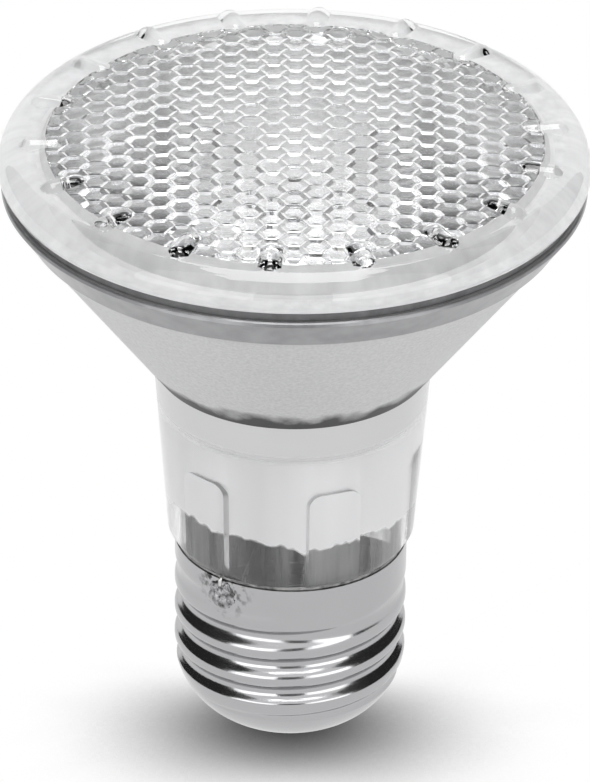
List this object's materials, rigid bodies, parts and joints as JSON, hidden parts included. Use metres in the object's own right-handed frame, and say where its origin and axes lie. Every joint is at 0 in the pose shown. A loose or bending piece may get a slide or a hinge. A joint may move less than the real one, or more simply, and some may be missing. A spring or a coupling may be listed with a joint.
{
  "type": "halogen reflector lamp",
  "caption": "Halogen heat lamp with a flared pressed glass reflector, honeycomb lens, clear neck and metal screw cap.",
  "frame": {"origin": "middle of the centre contact's outer face, the lowest point of the lamp", "axes": "+Z along the lamp's axis from the centre contact to the lens, the solder spot on the cap at the front left with -Y to the front"},
  "size_m": [0.0652, 0.0652, 0.0766],
  "materials": {
    "lens_glass": "clear pressed glass, gloss",
    "body_glass": "pressed glass, satin bowl over an aluminised inside, clear neck",
    "seal": "matte grey bonding bead",
    "quartz": "clear quartz, gloss",
    "tungsten": "dull drawn wire",
    "foil": "thin rolled foil",
    "plated_wire": "bright plated wire",
    "cement": "matte ceramic cement",
    "cap_sheet": "bright plated sheet",
    "contact": "plated brass, satin",
    "button_glass": "opaque moulded glass",
    "solder": "dull soft solder",
    "sleeving": "woven glass fibre"
  },
  "bodies": {
    "root": {"lens": "lens_glass", "reflector": "body_glass", "rim_seal": "seal", "quartz_capsule": "quartz", "coil": "tungsten", "short_lead": "tungsten", "long_lead": "tungsten", "left_foil": "foil", "right_foil": "foil", "left_pin": "plated_wire", "right_pin": "plated_wire", "left_crimp": "plated_wire", "right_crimp": "plated_wire", "centre_wire": "plated_wire", "side_wire": "plated_wire", "wire_sleeve": "sleeving", "capsule_cement": "cement", "cap_cement": "cement", "screw_shell": "cap_sheet", "centre_contact": "contact", "insulator": "button_glass", "centre_solder": "solder", "side_solder": "solder"}
  },
  "joints": []
}
